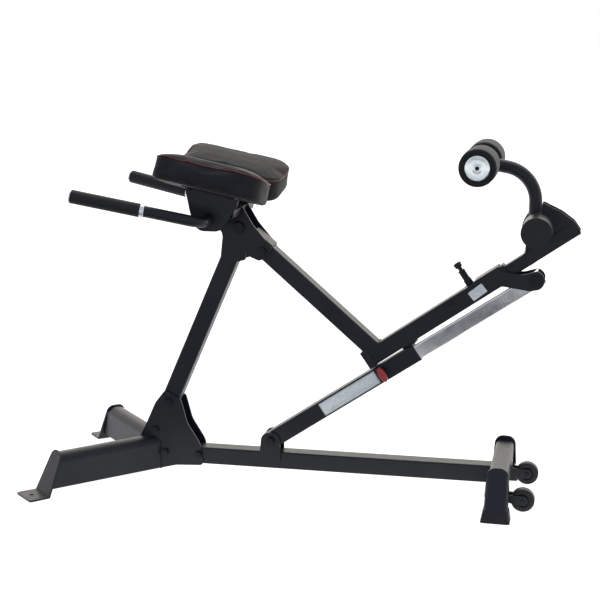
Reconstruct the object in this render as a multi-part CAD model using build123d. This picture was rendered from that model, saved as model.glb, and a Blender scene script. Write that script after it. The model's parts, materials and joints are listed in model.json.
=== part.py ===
from build123d import *
import math
import os

# Roman chair (45 degree hyperextension bench).
# Millimetres, +Z up, +X towards the foot end. "Left" is the -Y side, "right" the +Y side.
# A "spot" is an (x, z) place in the bench's middle plane. The stands are laid out on the floor. The rest
# is laid out on the base tube's line, and set_on_stands() then tips it by the small slope of that tube.

# ---------------------------------------------------------------- driving dimensions
TUBE = 45.0  # fixed square tubes
MOVING_TUBE = 44.0  # square tubes that swing between plates as wide as the fixed ones
TUBE_WALL = 2.0
TUBE_CORNER = 4.0
PLATE = 4.5  # frame plates
FIT_GAP = 0.4  # side gap between a swinging plate and a fixed one
PIN_GAP = 0.05  # radial clearance of a running fit

FRAME_SLOPE = 0.69  # degrees, the base tube rises towards the foot end
FRAME_SHIFT = (-0.25, -1.26)
BASE_Z = 63.0
BASE_START = -434.0
BASE_END = 495.0
UPRIGHT_SPOT = (-274.3, 391.3)
UPRIGHT_ANGLE = 66.68
TILT_PIVOT = (-158.0, 676.0)
UPRIGHT_SHORT_OF_PIVOT = 46.0
DOWN_SPOT = (48.7, 491.7)
DOWN_ANGLE = -41.0
DOWN_FROM_PIVOT = 72.0  # clear of the upright at full tilt
FOOT_SPOT = (318.8, 444.6)
FOOT_ANGLE = 34.61
FOOT_START = -179.5
FOOT_END = 241.0
STRUT_LOWER = (-79.0, 115.0)
STRUT_UPPER = (588.0, 564.0)

CROSSBAR_X = 515.6
CROSSBAR_WIDTH = 46.0
CROSSBAR_TOP = 112.0
CROSSBAR_BOTTOM = 55.0
CROSSBAR_HALF = 138.0
REAR_LEG_TOP = 124.0
REAR_LEG_WIDTH = 52.0
REAR_LEG_SPREAD = 9.0  # wider at the floor
REAR_LEG_PLATE = 4.0  # end plate that closes the crossbar
REAR_LEG_LEAN = 21.8  # from vertical
REAR_LEG_DEPTH = 42.0
FOOT_SOLE = 5.0  # of the foot cap, under the leg's cut end
FOOT_CAP_HIGH = 26.0
FOOT_CAP_BASE = (72.0, 3.0)  # width, and rim beyond the leg's depth, at the floor
FOOT_CAP_RIM = (62.0, 1.2)  # and at the top

FRONT_LEG_X = -387.4
FRONT_LEG_SPLAY = 47.5  # plan angle from -X
FRONT_LEG_WIDTH = 50.0
FRONT_LEG_BOTTOM = 16.5
FRONT_LEG_TOP = 104.5
FRONT_BEND = 349.0  # along the leg, where the end plate meets the floor
FRONT_TAB = 50.0
FRONT_TAB_HOLE = 27.0
FRONT_PLATE_TOP = 109.0
FRONT_PLATE_LEAN = 47.0
FRONT_PLATE_THICK = 5.0

WHEEL_SPOT = (577.3, 37.7)
WHEEL_RADIUS = 29.0
WHEEL_WIDTH = 24.0
WHEEL_Y = 106.5

PAD_TILT = 11.5  # down towards the foot end
PAD_CANT = 12.5  # outer edges raised
PAD_SPOT = (-211.0, 772.5)  # on the support flange's top
PAD_Y = 108.0
PAD_LENGTH = 278.0
PAD_WIDTH = 169.0
PAD_THICK = 70.0  # at the crown, board included
PAD_END_DROP = 10.0  # of the crowned top towards both ends
PAD_RIM = 6.0
PAD_OUTWARDS = 2.0  # of the pad's middle from the support's web
BOARD_THICK = 8.0
BOARD_INSET = 8.0
SUPPORT_WEB = 5.0
FLANGE = 3.0
BEAM_SPOT = (-170.0, 722.0)  # middle of the cross beam under the pads
BEAM_WIDE = 36.0
BEAM_HIGH = 20.0

HANDLE_SPOT = (-216.0, 706.0)
HANDLE_RADIUS = 14.0
HANDLE_WALL = 2.0
HANDLE_BEND = 35.0
HANDLE_CORNER_Y = 179.7
HANDLE_JOINT_Y = 112.0
GRIP_END = (-532.5, 231.0, 770.0)
GRIP_LENGTH = 172.0
GRIP_RING = 11.0
GRIP_CAP = 4.0
GRIP_RADIUS = 17.0

EXTENSION_TUBE = 32.0
EXTENSION_START = 20.0
EXTENSION_END = 443.0
FOOT_BAR_SPOT = (589.6, 696.0)
FOOT_BAR_RADIUS = 37.0
FOOT_BAR_END = 120.0
ARM_RADIUS = 16.0
ARM_X = 581.0
ARM_BEND = 85.0
ARM_RISE = 10.0  # degrees, of the arm's top run
ROLLER_SPOT = (450.0, 851.0)
ROLLER_RADIUS = 46.0
ROLLER_START = 35.0
ROLLER_END = 158.0
AXLE_RADIUS = 12.0
ROLLER_CAP_RADIUS = 29.5

STRUT_TUBE_START = -14.0
STRUT_TUBE_END = 453.0
STRUT_INNER = 38.0
STRUT_INNER_START = 330.0
STRUT_INNER_PAST = 17.0
STRUT_EYE_RADIUS = 15.0  # oversize: it takes up the error of the coupled strut joints
STRUT_PIN_ALONG = 355.0
FOOT_PIN_ALONG = 147.0
SADDLE_START = 163.0
SADDLE_END = 232.0
SADDLE_THICK = 3.5
LOCK_HOLE_PITCH = 25.0
LOCK_HOLES = 7

FRAME_BOLT_RADIUS = 5.0
PIVOT_BOLT_RADIUS = 8.0
STRUT_BOLT_RADIUS = 6.0
BUSHING_RADIUS = 12.0
SPACER_RADIUS = 7.0
PIN_RADIUS = 3.0
PIN_HOLE_RADIUS = 3.3
KNOB_HALF = (9.5, 20.0)  # half width and half height of the strut's knob
KNOB_THICK = 13.0


# ---------------------------------------------------------------- helpers
def heading(angle):
    """Unit (x, z) direction at an angle above +X."""
    return math.cos(math.radians(angle)), math.sin(math.radians(angle))


def place(spot, angle, along, across=0.0):
    """Spot reached by going along a direction, and then across it to its upper side."""
    c, s = heading(angle)
    return spot[0] + along * c - across * s, spot[1] + along * s + across * c


def along_plane(spot, angle, along=0.0):
    """Section plane across a tube: local x is +Y, local y the tube's upper side, local z along it."""
    x, z = place(spot, angle, along)
    c, s = heading(angle)
    return Plane(origin=(x, 0, z), x_dir=(0, 1, 0), z_dir=(c, 0, s))


def block(spot, angle, start, end, size, corner=0):
    """Solid square bar along a tube's line."""
    face = RectangleRounded(size, size, corner) if corner else Rectangle(size, size)
    return extrude(along_plane(spot, angle, start) * face, end - start)


def square_tube(spot, angle, start, end, size):
    inner = size - 2 * TUBE_WALL
    bore = RectangleRounded(inner, inner, TUBE_CORNER - TUBE_WALL)
    ring = RectangleRounded(size, size, TUBE_CORNER) - bore
    return extrude(along_plane(spot, angle, start) * ring, end - start)


def outline(points, radii):
    """Closed face with each corner rounded."""
    return make_face(FilletPolyline(*points, radius=radii, close=True))


def plate(face, inner, outer):
    """Left-hand plate in the XZ plane between two distances from the middle plane."""
    return extrude(Plane.XZ.offset(inner) * face, outer - inner)


def both_sides(left):
    return left + mirror(left, about=Plane.XZ)


def cross_rod(spot, radius, inner, outer):
    """Left-hand round bar along Y between two distances from the middle plane."""
    return extrude(Plane.XZ.offset(inner) * Pos(*spot) * Circle(radius), outer - inner)


def through_rod(spot, radius, half):
    return extrude(Plane.XZ * Pos(*spot) * Circle(radius), half, both=True)


def drill(shape, spots, radius):
    far = 400.0
    for spot in spots:
        shape = shape - through_rod(spot, radius, far)
    return shape


def rod(start, end, radius):
    line = Vector(*end) - Vector(*start)
    return extrude(Plane(origin=start, z_dir=line.normalized()) * Circle(radius), line.length)


def bolt(spot, radius, half):
    """Bolt across the frame, with a washer, a hex head and a nut outside the plates."""
    washer = 1.6
    head = radius * 1.3
    ends = cross_rod(spot, radius * 2.0, half, half + washer)
    hexagon = Pos(*spot) * RegularPolygon(radius * 1.9, 6)
    ends += extrude(Plane.XZ.offset(half + washer) * hexagon, head)
    return through_rod(spot, radius, half) + both_sides(ends)


def set_on_stands(shape):
    return Pos(FRAME_SHIFT[0], 0, FRAME_SHIFT[1]) * Rot(0, -FRAME_SLOPE, 0) * shape


def save(name, shape):
    shape.label = name
    export_step(shape, os.path.join("parts", name + ".step"))


def save_both_sides(name, left):
    save(name + "_left", left)
    save(name + "_right", mirror(left, about=Plane.XZ))


# ---------------------------------------------------------------- fixed frame
HALF = TUBE / 2
BASE_TOP = BASE_Z + HALF
GUSSET_OUT = HALF + PLATE
BASE_BOLTS = [(-354, 206), (-392, 128), (-366, 68), (-275, 66)]


def base_tube():
    tube = square_tube((0, BASE_Z), 0, BASE_START, BASE_END, TUBE)
    return set_on_stands(drill(tube, BASE_BOLTS[2:], FRAME_BOLT_RADIUS)) - crossbar_bar(0)


def upright_length():
    c, s = heading(UPRIGHT_ANGLE)
    reach = (TILT_PIVOT[0] - UPRIGHT_SPOT[0]) * c + (TILT_PIVOT[1] - UPRIGHT_SPOT[1]) * s
    return reach - UPRIGHT_SHORT_OF_PIVOT


def upright():
    foot = -(UPRIGHT_SPOT[1] - BASE_Z) / heading(UPRIGHT_ANGLE)[1]
    tube = square_tube(UPRIGHT_SPOT, UPRIGHT_ANGLE, foot, upright_length(), TUBE)
    below = Pos(BASE_START, 0, BASE_TOP) * Box(400, 100, 200, align=(Align.CENTER, Align.CENTER, Align.MAX))
    return drill(tube - below, BASE_BOLTS[:2], FRAME_BOLT_RADIUS)


def base_gussets():
    points = [(-363, 238), (-391, 202), (-414, 150), (-440, 95), (-440, 24), (-376, 24), (-336, 34)]
    points += [(-262, 38), (-269, 95), (-304, 151), (-321, 214)]
    radii = [8, 60, 60, 30, 6, 10, 30, 8, 50, 60, 10]
    return both_sides(drill(plate(outline(points, radii), HALF, GUSSET_OUT), BASE_BOLTS, FRAME_BOLT_RADIUS))


def base_gusset_bolts():
    return Part() + [bolt(spot, FRAME_BOLT_RADIUS, GUSSET_OUT) for spot in BASE_BOLTS]


def pivot_gussets():
    x, z = TILT_PIVOT
    points = [(x - 50, z - 4), (x - 44, z - 24), (x - 50, z - 79), (x - 18, z - 92), (x + 16.5, z - 84)]
    points += [(x + 14, z + 14), (x - 20, z + 20)]
    side = plate(outline(points, [6, 30, 6, 12, 8, 14, 14]), HALF, GUSSET_OUT)
    return both_sides(drill(side, [TILT_PIVOT], PIVOT_BOLT_RADIUS))


def tilt_pivot_bolt():
    return bolt(TILT_PIVOT, PIVOT_BOLT_RADIUS, HEAD_OUT)


def tilt_pivot_sleeve():
    sleeve = through_rod(TILT_PIVOT, PIVOT_BOLT_RADIUS + 4, HALF)
    return drill(sleeve, [TILT_PIVOT], PIVOT_BOLT_RADIUS)


def strut_brackets():
    x, z = STRUT_LOWER
    top = z + 23
    points = [(x - 31, BASE_Z - 3), (x + 25, BASE_Z - 3), (x + 25, top), (x - 24, top)]
    side = plate(outline(points, [3, 3, 22, 22]), HALF, GUSSET_OUT)
    return both_sides(drill(side, [STRUT_LOWER], STRUT_BOLT_RADIUS))


def strut_lower_bolt():
    return bolt(STRUT_LOWER, STRUT_BOLT_RADIUS, GUSSET_OUT)


# ---------------------------------------------------------------- rear stand and wheels
def arched_section(width, height, top_radius):
    """Bar section with a rounded top and a flat bottom, centred on its local origin."""
    w, h = width / 2, height / 2
    return outline([(-w, -h), (w, -h), (w, h), (-w, h)], [4, 4, top_radius, top_radius])


def crossbar_middle():
    return CROSSBAR_X, (CROSSBAR_TOP + CROSSBAR_BOTTOM) / 2


def crossbar_bar(inset):
    height = CROSSBAR_TOP - CROSSBAR_BOTTOM
    section = arched_section(CROSSBAR_WIDTH - 2 * inset, height - 2 * inset, 10 - inset)
    return extrude(Plane.XZ * Pos(*crossbar_middle()) * section, CROSSBAR_HALF, both=True)


def rear_crossbar():
    return crossbar_bar(0) - crossbar_bar(TUBE_WALL)


REAR_LEG_OUT = CROSSBAR_HALF + REAR_LEG_PLATE


def rear_leg_bar():
    """Left leg as a solid bar: its outer face starts at the end plate's top corner."""
    lean = math.radians(REAR_LEG_LEAN)
    down = Vector(0, -math.sin(lean), -math.cos(lean))
    outward = Vector(0, -math.cos(lean), math.sin(lean))
    corner = Vector(CROSSBAR_X, -REAR_LEG_OUT, REAR_LEG_TOP)
    length = REAR_LEG_TOP / math.cos(lean)
    beyond = 20.0
    first = corner - outward * (REAR_LEG_DEPTH / 2) - down * beyond
    last = first + down * (length + 2 * beyond)
    sections = []
    for origin, width in [(first, REAR_LEG_WIDTH), (last, REAR_LEG_WIDTH + REAR_LEG_SPREAD)]:
        face = arched_section(width, REAR_LEG_DEPTH, 12)
        sections.append(Plane(origin=origin, x_dir=(1, 0, 0), z_dir=down) * face)
    return loft(sections)


def rear_leg_arch(inner, outer):
    """Rounded leg outline seen from the side, between two distances from the middle plane."""
    half = REAR_LEG_WIDTH / 2
    flare = REAR_LEG_SPREAD
    x = CROSSBAR_X
    points = [(x - half - flare, -20), (x + half + flare, -20)]
    points += [(x + half, REAR_LEG_TOP), (x - half, REAR_LEG_TOP)]
    return plate(outline(points, [1, 1, 22, 22]), inner, outer)


def rear_leg():
    far = 400.0
    over = Pos(CROSSBAR_X, -REAR_LEG_OUT, CROSSBAR_BOTTOM)
    over = over * Box(far, far, far, align=(Align.CENTER, Align.MIN, Align.MIN))
    under = Pos(CROSSBAR_X, -REAR_LEG_OUT, FOOT_SOLE)
    under = under * Box(far, far, far, align=(Align.CENTER, Align.CENTER, Align.MAX))
    above_bottom = Pos(CROSSBAR_X, -REAR_LEG_OUT, CROSSBAR_BOTTOM - 6)
    above_bottom = above_bottom * Box(far, far, far, align=(Align.CENTER, Align.CENTER, Align.MIN))
    end_plate = rear_leg_arch(CROSSBAR_HALF, REAR_LEG_OUT) & above_bottom
    return ((rear_leg_bar() - over) & rear_leg_arch(0, far)) + end_plate - under


def rear_foot_cap():
    lean = math.tan(math.radians(REAR_LEG_LEAN))
    depth = REAR_LEG_DEPTH / math.cos(math.radians(REAR_LEG_LEAN))
    sections = []
    for z, (width, rim) in [(0, FOOT_CAP_BASE), (FOOT_CAP_HIGH, FOOT_CAP_RIM)]:
        outer = -REAR_LEG_OUT - (REAR_LEG_TOP - z) * lean
        face = RectangleRounded(width, depth + 2 * rim, 8)
        sections.append(Plane(origin=(CROSSBAR_X, outer + depth / 2, z)) * face)
    return loft(sections) - rear_leg()


def wheel_axle():
    return cross_rod(WHEEL_SPOT, 5, WHEEL_Y - WHEEL_WIDTH / 2 - 6, WHEEL_Y + WHEEL_WIDTH / 2 + 6)


def wheel_bracket():
    """Two ears that hold one wheel, welded under the crossbar."""
    x, z = WHEEL_SPOT
    start = CROSSBAR_X + CROSSBAR_WIDTH / 2
    points = [(start - 34, CROSSBAR_BOTTOM), (start - 2, CROSSBAR_BOTTOM), (start + 6, z + 13)]
    points += [(x + 12, z + 13), (x + 12, z - 12), (x - 12, z - 12), (start - 34, z + 4)]
    ear = outline(points, [1, 1, 3, 11, 11, 11, 4])
    gap = WHEEL_WIDTH / 2 + 0.5
    ears = plate(ear, WHEEL_Y - gap - 3, WHEEL_Y - gap) + plate(ear, WHEEL_Y + gap, WHEEL_Y + gap + 3)
    return drill(ears, [WHEEL_SPOT], 5)


def wheel():
    half = WHEEL_WIDTH / 2
    tyre = cross_rod(WHEEL_SPOT, WHEEL_RADIUS, WHEEL_Y - half, WHEEL_Y + half)
    tyre = fillet(tyre.edges().filter_by(GeomType.CIRCLE), 4)
    dish = cross_rod(WHEEL_SPOT, 17, 0, WHEEL_Y - half + 4)
    dish += cross_rod(WHEEL_SPOT, 17, WHEEL_Y + half - 4, 300)
    hub = cross_rod(WHEEL_SPOT, 9, WHEEL_Y - half, WHEEL_Y + half)
    return drill(tyre - dish + hub, [WHEEL_SPOT], 5 + PIN_GAP)


# ---------------------------------------------------------------- front legs
def leg_axes():
    """Directions of the left front leg: along it, and sideways."""
    c, s = heading(FRONT_LEG_SPLAY)
    return Vector(-c, -s, 0), Vector(s, -c, 0)


def leg_point(along, up, side=0.0):
    forward, sideways = leg_axes()
    return Vector(FRONT_LEG_X, 0, up) + forward * along + sideways * side


def end_plate_plane():
    """On the end plate's outer face: local x sideways, local y up the slope."""
    foot = leg_point(FRONT_BEND, 0)
    slope = leg_point(FRONT_BEND - FRONT_PLATE_LEAN, FRONT_PLATE_TOP) - foot
    sideways = leg_axes()[1]
    return Plane(origin=foot, x_dir=sideways, z_dir=sideways.cross(slope.normalized()))


def leg_bar(inset):
    height = FRONT_LEG_TOP - FRONT_LEG_BOTTOM
    section = arched_section(FRONT_LEG_WIDTH - 2 * inset, height - 2 * inset, 22 - inset)
    forward, sideways = leg_axes()
    middle = (FRONT_LEG_TOP + FRONT_LEG_BOTTOM) / 2
    return extrude(Plane(origin=leg_point(0, middle), x_dir=sideways, z_dir=forward) * section, FRONT_BEND)


def front_leg():
    far = 600.0
    inboard = Box(far, far, far, align=(Align.CENTER, Align.MIN, Align.CENTER))
    inboard = Pos(FRONT_LEG_X, -GUSSET_OUT, 0) * inboard
    beyond = end_plate_plane().offset(-FRONT_PLATE_THICK) * Rectangle(far, far)
    return leg_bar(0) - leg_bar(2.5) - inboard - extrude(beyond, far)


def front_foot_plate():
    slope = math.hypot(FRONT_PLATE_TOP, FRONT_PLATE_LEAN)
    rise = outline([(-38.5, 0), (38.5, 0), (24, slope), (-24, slope)], [0, 0, 20, 20])
    foot_plate = extrude(end_plate_plane() * rise, -FRONT_PLATE_THICK)
    forward, sideways = leg_axes()
    floor_plane = Plane(origin=leg_point(FRONT_BEND, 0), x_dir=forward, z_dir=(0, 0, 1))
    tab = outline([(-4, -38.5), (FRONT_TAB, -40), (FRONT_TAB, 40), (-4, 38.5)], [0, 6, 6, 0])
    tab = tab - Pos(FRONT_TAB_HOLE, 0) * Circle(5.5)
    under = Box(2000, 2000, 100, align=(Align.CENTER, Align.CENTER, Align.MAX))
    return foot_plate - under + extrude(floor_plane * tab, FRONT_PLATE_THICK)


# ---------------------------------------------------------------- tilting frame
MOVING_HALF = MOVING_TUBE / 2
HEAD_IN = GUSSET_OUT + FIT_GAP
HEAD_OUT = HEAD_IN + PLATE
CLEVIS_OUT = MOVING_HALF + PLATE
GUIDE_SLEEVE = MOVING_TUBE - 2 * TUBE_WALL - 0.4


def down_pivot_along():
    """Where the tilt pivot lies along the down tube's line."""
    c, s = heading(DOWN_ANGLE)
    return (TILT_PIVOT[0] - DOWN_SPOT[0]) * c + (TILT_PIVOT[1] - DOWN_SPOT[1]) * s


def head_bolt_spot():
    return place(DOWN_SPOT, DOWN_ANGLE, down_pivot_along() + 85)


def down_tube():
    start = down_pivot_along() + DOWN_FROM_PIVOT
    tube = square_tube(DOWN_SPOT, DOWN_ANGLE, start, 260, MOVING_TUBE)
    foot_top = along_plane(FOOT_SPOT, FOOT_ANGLE).offset(-400)
    side = extrude(foot_top * Pos(0, MOVING_HALF - 200) * Rectangle(400, 400), 900)
    return drill(tube - side, [head_bolt_spot()], FRAME_BOLT_RADIUS)


def foot_tube():
    tube = square_tube(FOOT_SPOT, FOOT_ANGLE, FOOT_START, FOOT_END, MOVING_TUBE)
    return tube - extrude(foot_pin_plane() * Circle(PIN_HOLE_RADIUS), MOVING_TUBE)


def foot_tube_cap():
    rim = 2.5
    cap = block(FOOT_SPOT, FOOT_ANGLE, FOOT_START - 4, FOOT_START + 17, MOVING_TUBE + 2 * rim)
    cap = fillet(cap.edges(), 2)
    return cap - block(FOOT_SPOT, FOOT_ANGLE, FOOT_START, FOOT_END, MOVING_TUBE) - down_tube_bar()


def down_tube_bar():
    start = down_pivot_along() + DOWN_FROM_PIVOT
    return block(DOWN_SPOT, DOWN_ANGLE, start, 260, MOVING_TUBE + 0.4)


def head_plates():
    points = [(-208, 668), (-197, 655), (-131, 602), (-103, 590), (-70, 623), (-121, 683), (-148, 728)]
    points += [(-182, 733), (-208, 712)]
    side = plate(outline(points, [8, 8, 8, 14, 10, 20, 8, 8, 8]), HEAD_IN, HEAD_OUT)
    side = side - through_rod(HANDLE_SPOT, HANDLE_RADIUS, 200) - beam_block(0)
    side = drill(side, [head_bolt_spot()], FRAME_BOLT_RADIUS)
    return both_sides(drill(side, [TILT_PIVOT], BUSHING_RADIUS))


def tilt_bushings():
    ring = cross_rod(TILT_PIVOT, BUSHING_RADIUS, HEAD_IN, HEAD_OUT)
    return both_sides(drill(ring, [TILT_PIVOT], PIVOT_BOLT_RADIUS + PIN_GAP))


def head_bridge_plate():
    """Plate that joins the two head plates across the down tube's upper face."""
    start = down_pivot_along() + 34
    end = down_pivot_along() + 96
    section = Pos(0, MOVING_HALF + 2) * Rectangle(2 * HEAD_IN, 4)
    return extrude(along_plane(DOWN_SPOT, DOWN_ANGLE, start) * section, end - start)


def head_spacers():
    spacer = cross_rod(head_bolt_spot(), SPACER_RADIUS, MOVING_HALF, HEAD_IN)
    return both_sides(drill(spacer, [head_bolt_spot()], FRAME_BOLT_RADIUS))


def head_bolt():
    return bolt(head_bolt_spot(), FRAME_BOLT_RADIUS, HEAD_OUT)


def beam_block(inset):
    section = Rot(0, 0, -PAD_TILT) * Rectangle(BEAM_WIDE - 2 * inset, BEAM_HIGH - 2 * inset)
    return extrude(Plane.XZ * Pos(*BEAM_SPOT) * section, PAD_Y - SUPPORT_WEB / 2, both=True)


def pad_cross_beam():
    return beam_block(0) - beam_block(TUBE_WALL)


def pad_plane(height):
    """On the left pad's underside: local x towards the foot end, local y outwards and up."""
    tilt = math.radians(PAD_TILT)
    cant = math.radians(PAD_CANT)
    length = Vector(math.cos(tilt), 0, -math.sin(tilt))
    flat_up = Vector(math.sin(tilt), 0, math.cos(tilt))
    up = flat_up * math.cos(cant) + Vector(0, 1, 0) * math.sin(cant)
    origin = Vector(PAD_SPOT[0], -PAD_Y, PAD_SPOT[1])
    return Plane(origin=origin, x_dir=length, z_dir=up).offset(height)


def pad_support():
    x, z = HANDLE_SPOT
    lobe = 31.0
    points = [(-278, 800), (-263, 722), (x - lobe, z - lobe), (x + lobe, z - lobe), (-143, 737), (-128, 790)]
    web = outline(points, [4, 12, lobe - 2, lobe - 2, 10, 4])
    side = plate(web, PAD_Y - SUPPORT_WEB / 2, PAD_Y + SUPPORT_WEB / 2)
    above = extrude(pad_plane(-FLANGE) * Rectangle(600, 400), 200)
    flange = pad_plane(-FLANGE) * Rectangle(138, 36)
    support = side - above + extrude(flange, FLANGE)
    return drill(support, [HANDLE_SPOT], HANDLE_RADIUS)


def pad_outline(inset):
    half, wide = PAD_LENGTH / 2 - inset, PAD_WIDTH / 2 - inset
    head, foot = 30.0 - inset, 48.0 - inset
    face = outline([(-half, -wide), (half, -wide), (half, wide), (-half, wide)], [head, foot, foot, head])
    return Pos(0, -PAD_OUTWARDS) * face


def pad_board():
    return extrude(pad_plane(0) * pad_outline(BOARD_INSET), BOARD_THICK)


def pad_crown():
    """Everything above the crowned top, which is an arc along the pad."""
    half = PAD_LENGTH / 2
    ends = PAD_THICK - PAD_END_DROP
    arc = ThreePointArc((-half, ends), (0, PAD_THICK), (half, ends))
    over = 60.0
    roof = Polyline((half, ends), (half + 1, over + ends), (-half - 1, over + ends), (-half, ends))
    across = pad_plane(0)
    side = Plane(origin=across.origin, x_dir=across.x_dir, z_dir=-across.y_dir)
    return extrude(side * make_face(arc + roof), PAD_WIDTH, both=True)


def thigh_pad():
    """Crowned pad, hollowed below for its board."""
    pad = extrude(pad_plane(0) * pad_outline(0), PAD_THICK + 1) - pad_crown()
    top = pad.faces().sort_by(lambda face: face.center().Z)[-1]
    return fillet(top.edges(), PAD_RIM) - pad_board()


def pad_screws():
    """Screws through the flange into the board, two each side of the web."""
    screws = Part()
    for along in (-52, 52):
        for across in (-12, 12):
            head = pad_plane(-FLANGE) * Pos(along, across) * Circle(6)
            screws += extrude(head, -4)
    return screws


def handle_cross_tube():
    tube = through_rod(HANDLE_SPOT, HANDLE_RADIUS, HANDLE_JOINT_Y)
    return tube - through_rod(HANDLE_SPOT, HANDLE_RADIUS - HANDLE_WALL, HANDLE_JOINT_Y)


def grip_axis():
    """Left grip's outer end, and the unit direction from it back towards the elbow."""
    end = Vector(GRIP_END[0], -GRIP_END[1], GRIP_END[2])
    corner = Vector(HANDLE_SPOT[0], -HANDLE_CORNER_Y, HANDLE_SPOT[1])
    return end, (corner - end).normalized()


def handle_arm():
    x, z = HANDLE_SPOT
    end, back = grip_axis()
    start = (x, -HANDLE_JOINT_Y, z)
    corner = (x, -HANDLE_CORNER_Y, z)
    path = FilletPolyline(start, corner, end + back * GRIP_CAP, radius=HANDLE_BEND)
    section = Plane(origin=path @ 0, z_dir=path % 0)
    skin = sweep(section * Circle(HANDLE_RADIUS), path=path)
    return skin - sweep(section * Circle(HANDLE_RADIUS - HANDLE_WALL), path=path)


def handle_sleeve(start, end, radius, bore):
    """Left ring round the handle arm, measured from the grip's outer end."""
    tip, back = grip_axis()
    ring = rod(tip + back * start, tip + back * end, radius)
    return ring - rod(tip + back * (start - 1), tip + back * (end + 1), bore)


def handle_grip():
    return handle_sleeve(GRIP_CAP, GRIP_CAP + GRIP_LENGTH, GRIP_RADIUS, HANDLE_RADIUS + PIN_GAP)


def grip_collars():
    """Ring at the grip's inner end and a cap on its outer end."""
    start = GRIP_CAP + GRIP_LENGTH
    ring = handle_sleeve(start, start + GRIP_RING, GRIP_RADIUS - 0.5, HANDLE_RADIUS + PIN_GAP)
    tip, back = grip_axis()
    return both_sides(ring) + both_sides(rod(tip, tip + back * GRIP_CAP, GRIP_RADIUS))


def strut_clevis_plates():
    """Two side plates joined by a saddle over the foot tube."""
    points = [(407, 533), (427, 500), (478, 533), (504, 549), (574, 539), (609, 545), (610, 575), (595, 590)]
    points += [(557, 579), (502, 586)]
    points += [place(FOOT_SPOT, FOOT_ANGLE, SADDLE_END, MOVING_HALF + SADDLE_THICK)]
    points += [place(FOOT_SPOT, FOOT_ANGLE, SADDLE_START, MOVING_HALF + SADDLE_THICK)]
    points += [place(FOOT_SPOT, FOOT_ANGLE, SADDLE_START - 3, MOVING_HALF - 1), (422, 542)]
    radii = [6, 6, 40, 20, 20, 22, 16, 16, 30, 6, 2, 2, 1, 8]
    side = plate(outline(points, radii), MOVING_HALF, CLEVIS_OUT)
    sides = both_sides(drill(side, [STRUT_UPPER], STRUT_BOLT_RADIUS))
    over = Pos(0, MOVING_HALF + SADDLE_THICK / 2) * Rectangle(2 * CLEVIS_OUT, SADDLE_THICK)
    return sides + extrude(along_plane(FOOT_SPOT, FOOT_ANGLE, SADDLE_START) * over, SADDLE_END - SADDLE_START)


def strut_upper_bolt():
    caps = cross_rod(STRUT_UPPER, 15, CLEVIS_OUT, CLEVIS_OUT + 4)
    return through_rod(STRUT_UPPER, STRUT_BOLT_RADIUS, CLEVIS_OUT) + both_sides(caps)


def foot_tube_guide():
    bore = EXTENSION_TUBE + 0.6
    sleeve = block(FOOT_SPOT, FOOT_ANGLE, FOOT_END - 26, FOOT_END, GUIDE_SLEEVE, TUBE_CORNER / 2)
    lip = block(FOOT_SPOT, FOOT_ANGLE, FOOT_END, FOOT_END + 3, MOVING_TUBE)
    return sleeve + lip - block(FOOT_SPOT, FOOT_ANGLE, FOOT_END - 30, FOOT_END + 5, bore)


def underside_bumper():
    plane = along_plane(FOOT_SPOT, FOOT_ANGLE, -85)
    return extrude(plane * Pos(0, -MOVING_HALF - 2.75) * Rectangle(30, 5.5), 40)


# ---------------------------------------------------------------- pull pins
def foot_pin_plane():
    """On the tube's middle line under the foot pin: local z points out of the tube's upper face."""
    x, z = place(FOOT_SPOT, FOOT_ANGLE, FOOT_PIN_ALONG)
    c, s = heading(FOOT_ANGLE)
    return Plane(origin=(x, 0, z), x_dir=(0, 1, 0), z_dir=(-s, 0, c))


def turned(plane, steps):
    """Turned piece from (start, end, radius) steps along the plane's normal."""
    piece = Part()
    for start, end, radius in steps:
        piece += extrude(plane.offset(start) * Circle(radius), end - start)
    return piece


def pin_bore(plane):
    return extrude(plane * Circle(PIN_RADIUS + PIN_GAP), 100)


def foot_pin_housing():
    plane = foot_pin_plane()
    face = MOVING_HALF
    return turned(plane, [(face, face + 13, 10), (face + 13, face + 42, 8.4)]) - pin_bore(plane)


def foot_pin():
    tip = EXTENSION_TUBE / 2 + 0.5
    top = MOVING_HALF + 42
    steps = [(tip, top + 1, PIN_RADIUS), (top + 1, top + 9, 5.5), (top + 9, top + 21, 9.3)]
    return turned(foot_pin_plane(), steps)


def strut_angle():
    rise = STRUT_UPPER[1] - STRUT_LOWER[1]
    return math.degrees(math.atan2(rise, STRUT_UPPER[0] - STRUT_LOWER[0]))


def strut_pin_plane():
    """On the strut's middle line behind the pull knob: local z points out of its left face."""
    x, z = place(STRUT_LOWER, strut_angle(), STRUT_PIN_ALONG)
    c, s = heading(strut_angle())
    return Plane(origin=(x, 0, z), x_dir=(c, 0, s), z_dir=(0, -1, 0))


def strut_pin_housing():
    plane = strut_pin_plane()
    face = MOVING_HALF
    return turned(plane, [(face, face + 12, 9)]) - pin_bore(plane)


def strut_pin():
    plane = strut_pin_plane()
    tip = STRUT_INNER / 2 + 0.5
    face = MOVING_HALF + 13
    stem = turned(plane, [(tip, face, PIN_RADIUS)])
    knob = extrude(plane.offset(face) * Ellipse(*KNOB_HALF), KNOB_THICK)
    return stem + fillet(knob.edges(), 3)


# ---------------------------------------------------------------- telescopic strut
def strut_length():
    return math.hypot(STRUT_UPPER[0] - STRUT_LOWER[0], STRUT_UPPER[1] - STRUT_LOWER[1])


def strut_outer_tube():
    tube = square_tube(STRUT_LOWER, strut_angle(), STRUT_TUBE_START, STRUT_TUBE_END, MOVING_TUBE)
    tube = drill(tube, [STRUT_LOWER], STRUT_BOLT_RADIUS + PIN_GAP)
    return tube - extrude(strut_pin_plane() * Circle(PIN_HOLE_RADIUS), MOVING_TUBE)


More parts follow.
